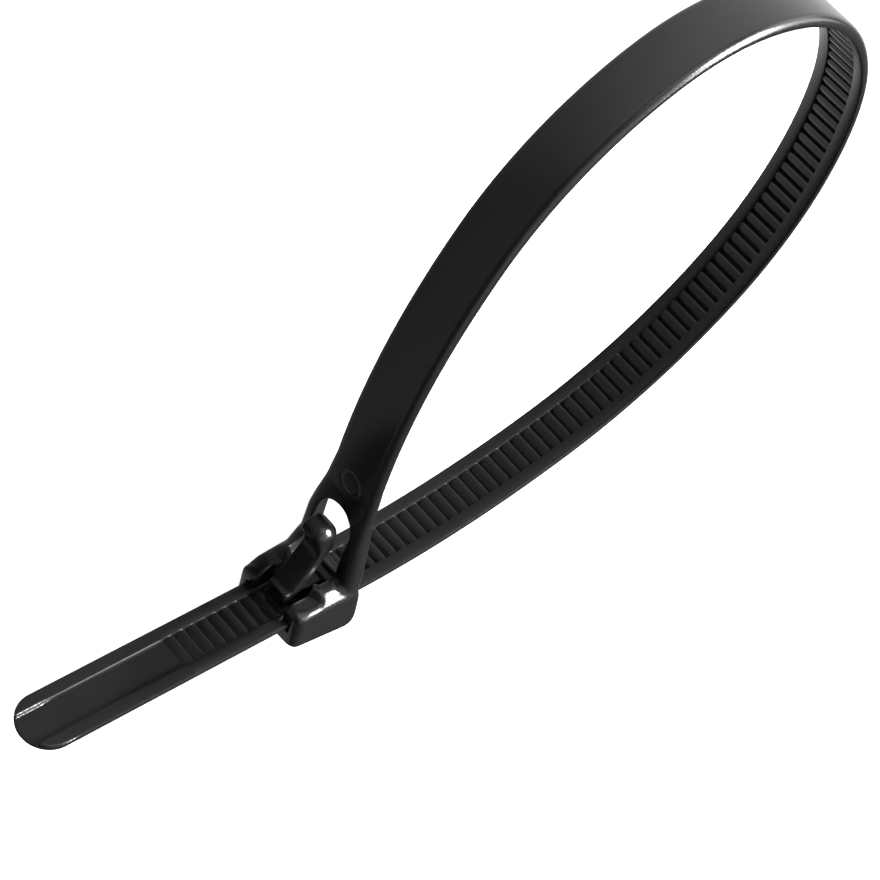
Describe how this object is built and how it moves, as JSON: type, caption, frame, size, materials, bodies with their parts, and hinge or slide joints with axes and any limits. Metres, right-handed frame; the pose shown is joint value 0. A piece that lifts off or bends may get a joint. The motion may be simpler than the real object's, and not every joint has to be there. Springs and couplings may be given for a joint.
{
  "type": "cable tie",
  "caption": "Black nylon releasable cable tie closed into a teardrop loop, with a toothed strap, a rounded tail and a release lever on its head.",
  "frame": {"origin": "on the head's resting side face, at the middle of the head where the strap's middle line passes through the slot", "axes": "+X along the slot into the loop, the tail leaves towards -X; +Y along the neck, away from the slot; +Z across the strap, up from the surface it lies on"},
  "size_m": [0.1108, 0.0791, 0.0105],
  "materials": {
    "black_nylon": "semi-gloss moulded nylon"
  },
  "bodies": {
    "root": {"cable_tie": "black_nylon"}
  },
  "joints": []
}
